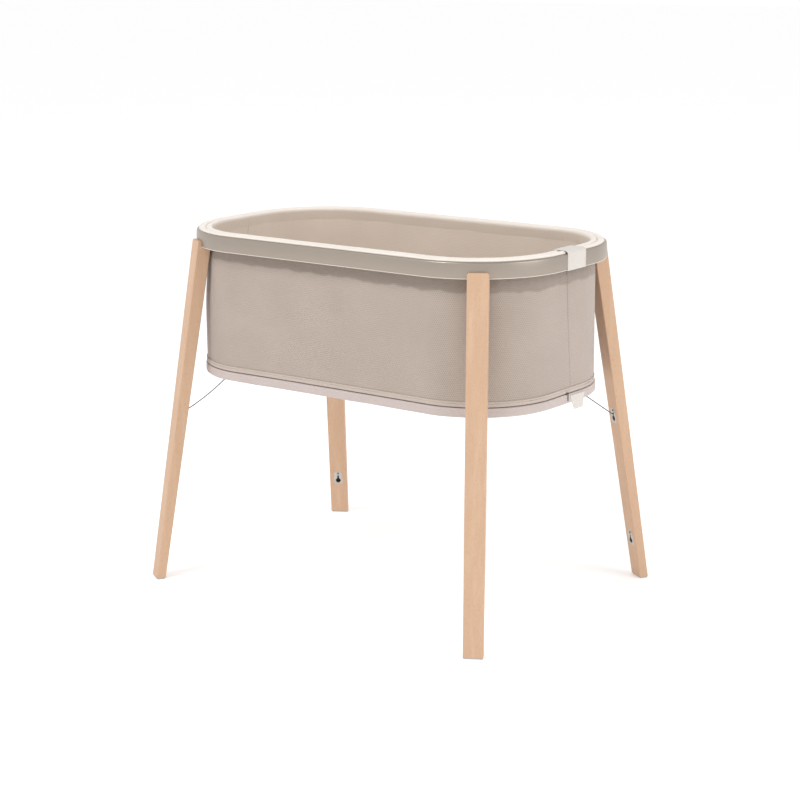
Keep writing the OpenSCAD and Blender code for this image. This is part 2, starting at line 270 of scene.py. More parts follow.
def thread_row(name, centre, tangent, normal, length, radius):
    """A row of stitches. Each is a short thread: rings at -1, -0.6, 0, 0.6 and 1 half
    lengths along its tangent, the outer ones thinner and sunk into the cloth."""
    along = np.array([-1.0, -0.6, 0.0, 0.6, 1.0]) * length / 2
    thick = np.array([0.45, 0.95, 1.0, 0.95, 0.45]) * radius
    lift = np.array([-0.9, 0.25, 0.5, 0.25, -0.9]) * radius
    side = np.cross(tangent, normal)
    sides = 5
    angle = (np.arange(sides) * TAU / sides)[:, None, None]
    ring = (np.cos(angle) * normal[None] + np.sin(angle) * side[None]).transpose(1, 0, 2)
    points = (centre[:, None, None] + along[None, :, None, None] * tangent[:, None, None]
              + lift[None, :, None, None] * normal[:, None, None]
              + thick[None, :, None, None] * ring[:, None])
    count, rings = len(centre), len(along)
    k, i, j = np.meshgrid(np.arange(count), np.arange(rings - 1), np.arange(sides),
                          indexing="ij")
    first = (k * rings + i) * sides
    quads = np.stack([first + j, first + (j + 1) % sides,
                      first + sides + (j + 1) % sides, first + sides + j], -1)
    ends = np.arange(count)[:, None] * rings * sides + np.arange(sides)[::-1]
    tails = np.arange(count)[:, None] * rings * sides + (rings - 1) * sides + np.arange(sides)
    faces = quads.reshape(-1, 4).tolist() + ends.tolist() + tails.tolist()
    mesh = bpy.data.meshes.new(name)
    mesh.from_pydata(points.reshape(-1, 3).tolist(), [], faces)
    mesh.update()
    return link(name, mesh)


def loop_stitches(name, x, z, pitch=STITCH, length=2.6 * MM, radius=0.32 * MM, up=False,
                  upright=False, shift=0.0):
    """Stitches round the outline at offset x and height z, along it or upright, moved on by
    a share of the pitch. Their normal is the outline's, or up on a top face."""
    count = int(LOOP / pitch)
    s = whole_span(count) + shift * LOOP / count
    point, normal = loop_line(s)
    centre = raised(point + (x + swell(s, z)[:, None]) * normal, z)
    outward, above = raised(normal, 0.0), np.tile(UP, (count, 1))
    tangent = above if upright else np.cross(above, outward)
    return thread_row(name, centre, tangent, above if up else outward, length, radius)


def stitch_pull(s, pitch):
    """How the cloth rises between stitches along the outline, 0 at each and 1 midway."""
    return np.abs(np.sin(math.pi * s / pitch))[:, None]


def ripple(s, z, seed):
    """Soft unevenness of stretched cloth, about -1 to 1: a sum of five waves whose lengths
    and phases come from a seeded draw."""
    draw = np.random.default_rng(seed)
    total = 0
    for _ in range(5):
        turns = draw.integers(5, 26)
        phase, slant = draw.uniform(0, TAU), draw.uniform(-9, 9)
        total = total + np.sin(TAU * turns * s / LOOP + phase + slant * z) / 5
    return total


# ---------------------------------------------------------------- shader maths
def maths(operation, swapped=False, *fixed):
    """A method of Wire that adds a Math node: the wire, then the other terms, or swapped."""
    def act(wire, *others):
        terms = (*others, wire) if swapped else (wire, *others, *fixed)
        return wire.paint.node("ShaderNodeMath", {"operation": operation}, *terms)
    return act


class Wire:
    """A socket in a material, with arithmetic that adds Math nodes."""

    def __init__(self, paint, socket):
        self.paint, self.socket = paint, socket

    __add__ = __radd__ = maths("ADD")
    __sub__, __rsub__ = maths("SUBTRACT"), maths("SUBTRACT", swapped=True)
    __mul__ = __rmul__ = maths("MULTIPLY")
    __truediv__ = maths("DIVIDE")
    sine, fract, floor, size = map(maths, ("SINE", "FRACT", "FLOOR", "ABSOLUTE"))
    root = maths("POWER", False, 0.5)

    def clamp(self):
        return self.paint.node("ShaderNodeClamp", {}, self)

    def above(self, edge, soft):
        """0 below edge - soft, 1 above edge + soft, and smooth between."""
        return self.paint.node("ShaderNodeMapRange", {"interpolation_type": "SMOOTHSTEP"},
                               self, edge - soft, edge + soft, 0.0, 1.0)


class Paint:
    """A material under construction: any node through node(), and the shader's sockets."""

    def __init__(self, name, roughness=0.5, **constants):
        self.material = bpy.data.materials.new(name)
        self.material.use_nodes = True
        self.tree = self.material.node_tree
        self.shader = self.tree.nodes["Principled BSDF"]
        self.shader.inputs["Roughness"].default_value = roughness
        for socket, value in constants.items():
            self.shader.inputs[socket.replace("_", " ")].default_value = value

    def _fill(self, socket, value):
        if isinstance(value, Wire):
            self.tree.links.new(value.socket, socket)
        else:
            socket.default_value = value

    def node(self, kind, settings=None, *values, out=None, **named):
        """Adds a node, sets its settings, then its sockets in order or by name."""
        new = self.tree.nodes.new(kind)
        for key, value in (settings or {}).items():
            setattr(new, key, value)
        for socket, value in zip([s for s in new.inputs if s.enabled], values):
            self._fill(socket, value)
        for key, value in named.items():
            self._fill(new.inputs[key.replace("_", " ")], value)
        return Wire(self, new.outputs[out] if out else [s for s in new.outputs if s.enabled][0])

    def place(self, turn=(0, 0, 0), scale=(1, 1, 1)):
        """Object coordinates, turned and stretched by a Mapping node."""
        where = self.node("ShaderNodeTexCoord", out="Object")
        return self.node("ShaderNodeMapping", {"vector_type": "POINT"}, where,
                         Rotation=turn, Scale=scale)

    def axes(self, where):
        """The X, Y and Z of a vector, as three wires."""
        split = self.node("ShaderNodeSeparateXYZ", {}, where).socket.node
        return [Wire(self, output) for output in split.outputs]

    def cloth_uv(self):
        """The piece's own UV map in metres, as two wires: along, across."""
        return self.axes(self.node("ShaderNodeUVMap", {"uv_map": "UVMap"}))[:2]

    def noise(self, where, scale, detail, roughness=0.5):
        return self.node("ShaderNodeTexNoise", {}, Vector=where, Scale=scale, Detail=detail,
                         Roughness=roughness)

    def blend(self, mask, low, high):
        """Mixes two colours, or a colour wire, by a mask."""
        mix = self.tree.nodes.new("ShaderNodeMix")
        mix.data_type = "RGBA"
        self._fill(mix.inputs["Factor"], mask)
        for socket, value in ((mix.inputs[6], low), (mix.inputs[7], high)):
            self._fill(socket, value if isinstance(value, Wire) else (*value, 1))
        return Wire(self, mix.outputs[2])

    def colour(self, value):
        self._fill(self.shader.inputs["Base Color"], value)

    def mottle(self, mask, tint, low, high=1.0):
        """Colours the surface between two shares of a tint, by a mask."""
        shades = [tuple(min(c * share, 1) for c in tint) for share in (low, high)]
        self.colour(self.blend(mask.clamp(), *shades))

    def rough(self, value):
        self._fill(self.shader.inputs["Roughness"], value)

    def bump(self, height, distance, strength):
        """Raises the surface by a height of 0 to 1 times a distance in metres."""
        relief = self.node("ShaderNodeBump", {}, Strength=strength, Distance=distance,
                           Height=height)
        self._fill(self.shader.inputs["Normal"], relief)


# ---------------------------------------------------------------- finishes
def srgb(r, g, b):
    """Linear colour of three 0 to 255 display values."""
    return tuple(((c / 255 + 0.055) / 1.055) ** 2.4 for c in (r, g, b))


def mesh_cloth(name, light, dark, pitch=4.4 * MM, rim_shadow=None):
    """Spacer mesh: staggered round holes in a knit, with soft sheen. Above a given height, on a
    line that wavers, a painted shadow of the rim darkens the mesh."""
    paint = Paint(name, 0.85, Sheen_Weight=0.25, Sheen_Roughness=0.5, Specular_IOR_Level=0.25)
    u, v = paint.cloth_uv()
    column = u / pitch
    row = v / (pitch * 0.9)
    stagger = (row.floor() * 0.5).fract()
    du = ((column + stagger).fract() - 0.5).size()
    dv = (row.fract() - 0.5).size() * 0.9
    spread = (du * du + dv * dv).root()
    knit = spread.above(0.25, 0.10)
    rib = (u * (TAU / (0.55 * MM))).sine() * (v * (TAU / (0.5 * MM))).sine()
    where = paint.place()
    cloud = paint.noise(where, 9.0, 3.0)
    shade = knit * 0.55 + cloud * 0.45 + rib * 0.03 + 0.12
    tone = paint.blend(shade.clamp(), dark, light)
    # Painted shadow: above a wavy line under the rim the mesh is darkened, standing in for the
    # shade the rim casts.
    if rim_shadow:
        along, _, height = paint.axes(where)
        waver = paint.noise(paint.place(scale=(1, 1, 0)), 26.0, 3.0)
        line = height + waver * (16 * MM) + along * RIM_SHADOW_SLOPE
        upper = line.above(rim_shadow + 8 * MM, 3.5 * MM)
        tone = paint.blend(upper * 0.62, tone, tuple(c * 0.86 for c in dark))
    paint.colour(tone)
    paint.rough(0.78 + cloud * 0.14)
    paint.bump(knit * 0.8 + rib * 0.12, 0.4 * MM, 0.7)
    return paint.material


def woven_cloth(name, light, dark, pitch, inside=None):
    """Plain weave: warp and weft threads over and under, with slubs. Where inside gives two
    colours, the cloth takes those below the top of the rim, as painted shade of its lower part."""
    paint = Paint(name, 0.9, Sheen_Weight=0.3, Sheen_Roughness=0.45, Specular_IOR_Level=0.2)
    u, v = paint.cloth_uv()
    warp = (u * (math.pi / pitch)).sine().size()
    weft = (v * (math.pi / pitch)).sine().size()
    over = ((u / pitch).floor() + (v / pitch).floor()) * 0.5
    check = over.fract() * 2
    weave = warp * check + weft * (1 - check)
    where = paint.place()
    cloud = paint.noise(where, 14.0, 4.0)
    thread = paint.noise(paint.place(scale=(1, 1, 8)), 160.0, 2.0)
    shade = (weave * 0.45 + cloud * 0.3 + thread * 0.2).clamp()
    tone = paint.blend(shade, dark, light)
    # Painted shade: below the rim's top the cloth takes the darker inside colours.
    if inside:
        upper = paint.axes(where)[2].above(RIM_HIGH.z - 1.0 * MM, 5 * MM)
        tone = paint.blend(upper, paint.blend(shade, *inside), tone)
    paint.colour(tone)
    paint.rough(0.82 + cloud * 0.12)
    paint.bump(weave * 0.8 + thread * 0.4, 0.22 * MM, 0.8)
    return paint.material


def webbing_cloth(name, light, dark):
    """Ribbed tape: fine ribs across and a twill down each."""
    paint = Paint(name, 0.75, Sheen_Weight=0.2, Specular_IOR_Level=0.3)
    u, v = paint.cloth_uv()
    rib = (u * (math.pi / (1.6 * MM))).sine().size()
    twill = ((u + v * 0.6) * (TAU / (1.1 * MM))).sine() * 0.5 + 0.5
    cloud = paint.noise(paint.place(), 30.0, 3.0)
    paint.colour(paint.blend((rib * 0.45 + twill * 0.3 + cloud * 0.3).clamp(), dark, light))
    paint.bump(rib * 0.7 + twill * 0.3, 0.3 * MM, 0.7)
    return paint.material


def beech(name, turn):
    """Oiled beech: fine straight grain along the leg, short dark flecks, soft growth bands.
    The pattern is turned so its Z runs up the leg."""
    paint = Paint(name, 0.45, Specular_IOR_Level=0.4, Coat_Roughness=0.35)
    grain = paint.place(turn, (1, 1, 0.035))
    broad = paint.noise(grain, 55.0, 5.0, 0.6)
    fine = paint.noise(paint.place(turn, (1, 1, 0.02)), 420.0, 3.0)
    flecks = paint.noise(paint.place(turn, (1, 1, 0.16)), 900.0, 1.0).above(0.66, 0.05)
    band = (broad * 9.0).sine() * 0.5 + 0.5
    tone = paint.blend((broad * 0.9 + band * 0.22).clamp(), srgb(187, 150, 119),
                       srgb(214, 183, 157))
    tone = paint.blend((fine * 0.35).clamp(), tone, srgb(181, 142, 110))
    tone = paint.blend(flecks * 0.30, tone, srgb(152, 110, 80))
    paint.colour(tone)
    paint.rough(0.42 + fine * 0.16)
    paint.bump(fine * 0.6 + flecks * -0.5 + broad * 0.3, 0.12 * MM, 0.5)
    return paint.material


def satin_paint(name, tint):
    """Satin metallic paint: a fine orange-peel and scattered flake."""
    paint = Paint(name, 0.34, Metallic=0.55, Coat_Roughness=0.3)
    flake = paint.noise(paint.place(), 2600.0, 1.0)
    peel = paint.noise(paint.place(), 240.0, 2.0)
    cloud = paint.noise(paint.place(), 6.0, 2.0)
    paint.mottle(flake * 0.6 + cloud * 0.4, tint, 0.9, 1.1)
    paint.rough(0.30 + flake * 0.10)
    paint.bump(peel, 0.03 * MM, 0.4)
    return paint.material


def brushed_metal(name, tint, roughness=0.34, metallic=1.0):
    """Brushed or drawn metal: long fine scratches and patchy stains, darker at random."""
    paint = Paint(name, roughness, Metallic=metallic)
    scratch = paint.noise(paint.place(scale=(1, 1, 30)), 400.0, 3.0)
    stain = paint.noise(paint.place(), 60.0, 3.0)
    paint.mottle(scratch * 0.5 + stain * 0.5, tint, 0.75)
    paint.rough(roughness - 0.08 + scratch * 0.18)
    paint.bump(scratch, 0.03 * MM, 0.5)
    return paint.material


def moulded_plastic(name, tint, roughness):
    """Moulded plastic: fine sparked texture with faint flow clouds."""
    paint = Paint(name, roughness, Specular_IOR_Level=0.4)
    spark = paint.noise(paint.place(), 1500.0, 2.0)
    cloud = paint.noise(paint.place(), 40.0, 3.0)
    paint.mottle(spark * 0.4 + cloud * 0.6, tint, 0.85, 1.12)
    paint.rough(roughness - 0.05 + spark * 0.12)
    paint.bump(spark, 0.05 * MM, 0.5)
    return paint.material


def pressed_board(name, tint):
    """Pressed fibre board: matted short fibres."""
    paint = Paint(name, 0.8, Specular_IOR_Level=0.2)
    fibre = paint.noise(paint.place(scale=(1, 4, 1)), 300.0, 4.0)
    clump = paint.noise(paint.place(scale=(3, 1, 1)), 60.0, 3.0)
    paint.mottle(fibre * 0.6 + clump * 0.4, tint, 0.7)
    paint.bump(fibre, 0.15 * MM, 0.7)
    return paint.material


RIM_PAINT = satin_paint("rim_satin_beige", srgb(157, 146, 135))
# Pale bead under the rim: its light colour is partly a painted reflection of the rim's rolled
# lower edge, partly a light piping.
LIP_GLINT = moulded_plastic("lip_cream_glint", srgb(214, 202, 190), 0.35)
# The wall mesh has the rim's painted shadow near its top; the tucked sheet, cut from the same
# mesh, shows that painted shade at its top too.
MESH = mesh_cloth("mesh_sand", srgb(177, 163, 153), srgb(140, 127, 116),
                  rim_shadow=RIM_SHADOW_EDGE)
INNER_MESH = mesh_cloth("lining_sand", srgb(215, 201, 188), srgb(187, 173, 159), 3.6 * MM)
# The binding's fold inside the rim takes darker colours than its top: painted shade of the one
# cloth, set a little lighter than the lining to offset the fold's own downward-facing shading.
BINDING = woven_cloth("binding_cream", srgb(246, 239, 231), srgb(224, 214, 203), 0.8 * MM,
                      inside=(srgb(198, 184, 171), srgb(226, 213, 201)))
PIPING = woven_cloth("piping_cream", srgb(249, 244, 237), srgb(224, 214, 202), 0.8 * MM)
HEM = woven_cloth("hem_blush", srgb(202, 188, 178), srgb(172, 158, 148), 0.8 * MM)
BAND = woven_cloth("band_blush", srgb(205, 191, 187), srgb(178, 165, 160), 0.8 * MM)
UNDER = woven_cloth("underside_cloth", srgb(214, 202, 196), srgb(180, 166, 158), 1.0 * MM)
SHEET = woven_cloth("mattress_sheet", srgb(247, 244, 238), srgb(224, 218, 208), 0.7 * MM)
WEBBING = webbing_cloth("tape_ecru", srgb(220, 214, 208), srgb(184, 177, 170))
THREAD = moulded_plastic("thread_ecru", srgb(226, 215, 204), 0.8)
THREAD_DARK = moulded_plastic("thread_taupe", srgb(150, 136, 124), 0.8)
ZIP_COIL = moulded_plastic("zip_coil", srgb(166, 152, 142), 0.45)
STEEL = brushed_metal("plate_steel", (0.57, 0.56, 0.53))
DARK_STEEL = brushed_metal("dark_steel", (0.20, 0.19, 0.18), roughness=0.42)
ROPE_STEEL = brushed_metal("rope_steel", (0.10, 0.10, 0.095), roughness=0.5, metallic=0.3)
BRASS = brushed_metal("insert_brass", (0.72, 0.53, 0.26))
GLIDE = moulded_plastic("glide_grey", srgb(176, 172, 166), 0.6)
PLUG = moulded_plastic("plug_black", srgb(58, 57, 56), 0.6)
FIBRE = pressed_board("fibre_board", srgb(190, 158, 122))
FOAM = moulded_plastic("foam_white", srgb(240, 236, 226), 0.95)


def finish_node(name, material):
    """Gives a carried-over CAD node its material."""
    data = NODES[name].data
    data.materials.clear()
    data.materials.append(material)


def dress(piece, material, body, slot, *replaced):
    """Material, body and the CAD nodes that a new piece stands for; slot is not used."""
    piece.data.materials.append(material)
    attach(piece, body)
    if replaced:
        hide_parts(*replaced)
    return piece


# ---------------------------------------------------------------- camera, light and floor
def studio():
    """Camera at a three-quarter view, a white surround, two soft lights and a pale floor."""
    scene = bpy.context.scene
    camera = bpy.data.objects.new("camera", bpy.data.cameras.new("camera"))
    scene.collection.objects.link(camera)
    scene.camera = camera
    camera.location = CAMERA_PLACE
    forward = (Vector(CAMERA_AIM) - camera.location).normalized()
    roll = Matrix.Rotation(math.radians(CAMERA_ROLL), 4, forward)
    camera.rotation_euler = (roll.to_quaternion() @ forward.to_track_quat("-Z", "Y")).to_euler()
    camera.data.lens = LENS
    camera.data.sensor_width = 36
    camera.data.shift_x, camera.data.shift_y = LENS_SHIFT
    camera.data.clip_end = 60

    world = bpy.data.worlds.new("surround")
    world.use_nodes = True
    tree = world.node_tree
    where = tree.nodes.new("ShaderNodeTexCoord")
    split = tree.nodes.new("ShaderNodeSeparateXYZ")
    ramp = tree.nodes.new("ShaderNodeValToRGB")
    for stop, (height, grey) in zip(ramp.color_ramp.elements, (HORIZON, ZENITH)):
        stop.position = height
        stop.color = (grey, grey, grey, 1)
    tree.links.new(where.outputs["Generated"], split.inputs[0])
    tree.links.new(split.outputs["Z"], ramp.inputs[0])
    tree.links.new(ramp.outputs[0], tree.nodes["Background"].inputs["Color"])
    tree.nodes["Background"].inputs["Strength"].default_value = 1.02
    scene.world = world
    scene.view_settings.view_transform = "Standard"
    for name, place, size, power in LIGHTS:
        light = bpy.data.objects.new(name, bpy.data.lights.new(name, "AREA"))
        light.data.size, light.data.energy = size, power
        light.location = place
        aim = Vector((0, 0, 0.5)) - light.location
        light.rotation_euler = aim.to_track_quat("-Z", "Y").to_euler()
        scene.collection.objects.link(light)

    mesh = bpy.data.meshes.new("floor")
    mesh.from_pydata([(FLOOR_SPAN * x, FLOOR_SPAN * y, 0)
                      for x, y in ((-1, -1), (1, -1), (1, 1), (-1, 1))], [], [(0, 1, 2, 3)])
    floor = link("floor", mesh)
    pale = Paint("floor_white", 0.9, Specular_IOR_Level=0.1, Emission_Strength=0.23,
                 Emission_Color=(1, 1, 1, 1))
    cloud = pale.noise(pale.place(), 3.0, 2.0)
    pale.colour(pale.blend(cloud, (0.97, 0.97, 0.97), (0.99, 0.99, 0.99)))
    floor.data.materials.append(pale.material)


# ---------------------------------------------------------------- rim
def rim_profile():
    """The rim's outline: an outer face crowned by a parabola, and round corners."""
    low, high = RIM_LOW.z, RIM_HIGH.z
    lift = np.linspace(low + 2 * MM, high - 4 * MM, 9)
    crown = 0.9 * MM * (1 - ((lift - lift.mean()) / (lift[-1] - lift.mean())) ** 2)
    return outline(arc(-2 * MM, low + 2 * MM, 2 * MM, -90, -15, 6), (crown, lift),
                   arc(-4 * MM, high - 4 * MM, 4 * MM, 15, 90, 6),
                   arc(-16 * MM, high - 4 * MM, 4 * MM, 90, 180, 7),
                   arc(-16 * MM, low + 4 * MM, 4 * MM, 180, 270, 7))


def make_rim():
    x, z = rim_profile()
    for half in HALVES:
        shell = skin("rim_shell_" + half, round_loop(half_span(half, 300), x, z),
                     wrap_v=True, caps=True)
        dress(shell, RIM_PAINT, "stand", "rim_paint", "rim_" + half)
        turn = np.arange(12) * TAU / 12
        # The pale lip bead: partly a light piping, partly a painted reflection of the rim's
        # rolled lower edge.
        lip = skin("rim_lip_" + half,
                   round_loop(half_span(half, 300), -0.55 * MM + 1.05 * MM * np.cos(turn),
                              RIM_LOW.z + 1.15 * MM + 0.9 * MM * np.sin(turn)),
                   wrap_v=True, caps=True)
        dress(lip, LIP_GLINT, "stand", "rim_paint")


# ---------------------------------------------------------------- fabric basket
def wall_grid(half, inset, z_low, z_high, pucker=0.9 * MM, tuck=0.0, lean=0.0, belly=0.0,
              slack=0.0, seed=3):
    """Stretched mesh: the outline at an inset, with a slow ripple of under a millimetre,
    short gathers that fade out below the rim, and a tuck that draws the cloth back under the
    rim. The gathers are a sine round the loop times a falling exponential of the distance
    from the rim; the tuck is a hyperbolic tangent of the height about a wavy line."""
    s = half_span(half, 420)
    z = np.linspace(z_high, z_low, 90)
    grid_s, grid_z = np.meshgrid(s, z, indexing="ij")
    fall = np.exp(-np.maximum(RIM_LOW.z - grid_z, 0) / 0.022)
    gather = np.sin(TAU * 96 * grid_s / LOOP + 2.2 * ripple(grid_s, 0, seed + 7))
    foot = np.clip((grid_z - z_low) / 0.03, 0, 1)
    edge = RIM_LOW.z - 17 * MM + 5 * MM * ripple(grid_s, 0, seed + 2)
    back = 0.5 + 0.5 * np.tanh((grid_z - edge) / (3.5 * MM))
    head = np.clip((RIM_LOW.z + 10 * MM - grid_z) / 0.05, 0, 1)
    offset = foot * (0.7 * MM * head * ripple(grid_s, grid_z, seed)
                     + pucker * fall * gather * 0.5)
    offset = offset + belly * swell(grid_s, grid_z)
    offset = offset - slack * folds(grid_s, (grid_z - z_low) / (z_high - z_low), seed + 4)
    moved = grid_s + seam_lean(grid_s, grid_z, lean)
    point, normal = loop_line(moved)
    return raised(point + (offset + inset - tuck * back)[..., None] * normal, grid_z)


def folds(s, share, seed):
    """Slack upright folds, 0 to 1: along each half, bells at seeded places, steeper on one
    side, times the sine of the height's share, and the deepest of them at each point."""
    draw = np.random.default_rng(seed)
    count = 7
    half = np.mod(s, LOOP / 2)
    deepest = np.zeros_like(s)
    for place in (np.arange(count) + draw.uniform(0.15, 0.85, count)) * LOOP / 2 / count:
        wide, steep = draw.uniform(0.020, 0.040), draw.uniform(0.007, 0.012)
        lean, depth = draw.uniform(-0.02, 0.02), draw.uniform(0.55, 1.0)
        gap = half - place - lean * share
        bell = np.exp(-(gap / np.where(gap > 0, wide, steep)) ** 2)
        deepest = np.maximum(deepest, depth * bell)
    return deepest * np.sin(math.pi * share) ** 0.7


def seam_lean(s, z, lean):
    """How far the end seams lean along the outline at a height: their lean times the drop
    below the rim to the power 1.2, fading out within a hand's width of each seam."""
    drop = np.clip((WALL_HIGH.z - z) / (WALL_HIGH.z - WALL_LOW.z), 0, 1) ** 1.2
    right = np.minimum(np.mod(s, LOOP), LOOP - np.mod(s, LOOP))
    left = np.abs(np.mod(s, LOOP) - LOOP / 2)
    return lean * drop * (np.exp(-(right / 0.09) ** 2) - 0.8 * np.exp(-(left / 0.09) ** 2))


def cloth_sheet(name, half, face, z_low, z_high, material, body, slot, replaced, held,
                rests_on, **shape):
    """One half of a wall as a sheet, in the middle of the CAD wall's thickness.
    Its flat width is measured along its middle row."""
    points = wall_grid(half, face - CLOTH / 2, z_low, z_high, **shape)
    sheet = skin(name, points, flip=True)
    thicken(sheet, 1.2 * MM)
    dress(sheet, material, body, slot, replaced)


def seam_welt(name, centre_s, lean, inset, z_low, z_high, width, proud, material, body, slot,
              belly=1.0):
    """A sewn seam down a wall: at each height an ellipse of that width and rise, pinched by
    a sine along its stitches, its middle on the leaning line between the two sheets."""
    z = np.linspace(z_low, z_high, 240)
    angle = np.linspace(0, TAU, 16, endpoint=False)
    pinch = 1 + 0.12 * np.sin(TAU * z / 0.005)
    middle = centre_s + seam_lean(centre_s, z, lean)
    s = middle[:, None] + width / 2 * np.cos(angle)[None] * pinch[:, None]
    point, normal = loop_line(s)
    rise = inset + proud * np.sin(angle)[None] * pinch[:, None]
    rise = rise + belly * swell(centre_s, z)[:, None]
    points = raised(point + rise[..., None] * normal, z[:, None])
    welt = skin(name, points, wrap_v=True, caps=True)
    return dress(welt, material, body, slot)


def make_walls():
    for half in HALVES:
        cloth_sheet("mesh_wall_" + half, half, WALL_X, WALL_LOW.z, WALL_HIGH.z, MESH,
                    "stand", "wall_mesh", "wall_" + half, "stretched", ["rim_shell_" + half],
                    tuck=1.1 * MM, lean=SEAM_LEAN, belly=1.0)
        cloth_sheet("inner_lining_" + half, half, LINING_X, LINING_LOW.z, LINING_HIGH.z,
                    INNER_MESH, "stand", "lining_cloth", "lining_" + half, "stretched",
                    ["rim_shell_" + half], seed=11, pucker=0.2 * MM, slack=1.5 * MM)
        cloth_sheet("tucked_sheet_" + half, half, TUCK_X, TUCK_LOW.z, TUCK_HIGH.z, MESH,
                    "base", "wall_mesh", "tucked_wall_" + half, "hung", ["base_band"],
                    seed=19, pucker=0.0, belly=1.0)
    for side, centre in (("right", 0.0), ("left", LOOP / 2)):
        seam_welt("wall_seam_" + side, centre, SEAM_LEAN, WALL_X - 0.3 * MM,
                  WALL_LOW.z + 2 * MM, RIM_LOW.z + 20 * MM, 2.2 * MM, 0.55 * MM, MESH, "stand",
                  "wall_mesh")
        seam_welt("lining_seam_" + side, centre, 0.0, LINING_FACE - 0.1 * MM,
                  LINING_LOW.z + 2 * MM, RIM_LOW.z, 2.4 * MM, 0.5 * MM, INNER_MESH, "stand",
                  "lining_cloth", belly=0.0)


def make_binding():
    """The top binding: two soft rolls side by side over the rim with a sewn groove between
    them and a fold that hangs inside. Each roll is a rounded profile whose height follows a
    fine ripple along the stitches."""
    top, low = BIND_HIGH.z, BIND_LOW.z
    rise = top - RIM_HIGH.z - 0.1 * MM
    seat = RIM_HIGH.z + 0.1 * MM
    turn = np.linspace(0, math.pi, 11)
    arch = np.sin(turn) ** 0.7
    shoulder = np.linspace(0, math.pi / 2, 6)[1:]
    fall = np.append(np.linspace(0, 0.97, 8), 1.0)
    toe = low - 4 * MM
    x, z = outline(
        (-12.6 * MM + 7.6 * MM * np.cos(turn), seat + 0.1 * MM + rise * arch),
        (-28.9 * MM + 8.1 * MM * np.cos(turn[:6]),
         seat + 0.3 * MM + (rise - 0.3 * MM) * arch[:6]),
        (-31.0 * MM - 3.8 * MM * np.sin(shoulder),
         top - 5.5 * MM + 5.4 * MM * np.cos(shoulder)),
        (-34.8 * MM + 4.9 * MM * fall ** 1.2, top - 6.5 * MM + (toe - top + 6.5 * MM) * fall),
        (-29.6 * MM, [toe, seat]), (-5.2 * MM, seat))
    for half in HALVES:
        s = half_span(half, 1000)
        pull = stitch_pull(s, 5 * MM)
        wave = 0.35 * MM * ripple(s, 0, 29)[:, None]
        above = np.clip((z[None] - seat) / rise, 0, 1)
        height = z[None] + above * (wave - 0.35 * MM * (1 - pull))
        roll = skin("edge_binding_" + half, round_loop(s, x, height), wrap_v=True, caps=True)
        dress(roll, BINDING, "stand", "binding_cloth", "binding_" + half)
    stitch = loop_stitches("binding_stitches", -20.5 * MM, seat + 1.5 * MM, 5 * MM,
                           3.4 * MM, 0.42 * MM, up=True)
    dress(stitch, THREAD, "stand", "binding_cloth")


def make_hem():
    """The folded hem over the wall's lower edge, pulled in under each stitch: a rounded
    profile whose outer face sinks by a narrow bell at the stitch line."""
    box_low, box_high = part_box("hem_band")
    x0, x1 = WALL_X + 0.1 * MM, WALL_X + 1.5 * MM
    bottom = box_low.z - 1.4 * MM
    radius = 0.65 * MM
    face = np.linspace(bottom + radius, box_high.z - radius, 24)
    x, z = outline((x1, face), arc(x1 - radius, face[-1], radius, 30, 90, 3),
                   arc(x0 + radius, face[-1], radius, 90, 180, 4),
                   arc(x0 + radius, face[0], radius, 180, 270, 4),
                   arc(x1 - radius, face[0], radius, -90, -30, 3))
    s = whole_span(1600)
    pull = stitch_pull(s, STITCH)
    groove = np.exp(-((z - box_low.z - 5.6 * MM) / (0.9 * MM)) ** 2)[None]
    outer = (x > (x0 + x1) / 2)[None]
    sink = outer * groove * (0.55 * MM - 0.15 * MM * pull)
    wave = outer * 0.25 * MM * ripple(s, 0, 41)[:, None] + swell(s, bottom)[:, None]
    hem = skin("folded_hem", round_loop(s, x - sink + wave, z), wrap_u=True, wrap_v=True)
    dress(hem, HEM, "stand", "band_cloth", "hem_band")
    stitch = loop_stitches("hem_stitches", x1 - 0.5 * MM, box_low.z + 5.6 * MM)
    dress(stitch, THREAD_DARK, "stand", "band_cloth")


def make_zip():
    """The zip: a thin tape on each side of the gap, and a row of coil turns on each."""
    for part, body, shift in (("upper", "stand", 0.0), ("lower", "base", 0.5)):
        low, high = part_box("zip_" + part)
        x, z = rounded(WALL_X - 1.4 * MM, low.z + 0.05 * MM, WALL_X - 0.5 * MM,
                       high.z - 0.05 * MM, 0.25 * MM, 2)
        ring = whole_span(500)
        belly = swell(ring, low.z)[:, None]
        tape = skin("zip_tape_" + part, round_loop(ring, x + belly, z), wrap_u=True,
                    wrap_v=True)
        dress(tape, ZIP_COIL, body, "zip_plastic", "zip_" + part)
        coil = loop_stitches("zip_coil_" + part, WALL_X - 0.45 * MM, (low.z + high.z) / 2,
                             1.8 * MM, (high.z - low.z) * 0.92, 0.5 * MM, upright=True,
                             shift=shift)
        dress(coil, ZIP_COIL, body, "zip_plastic")


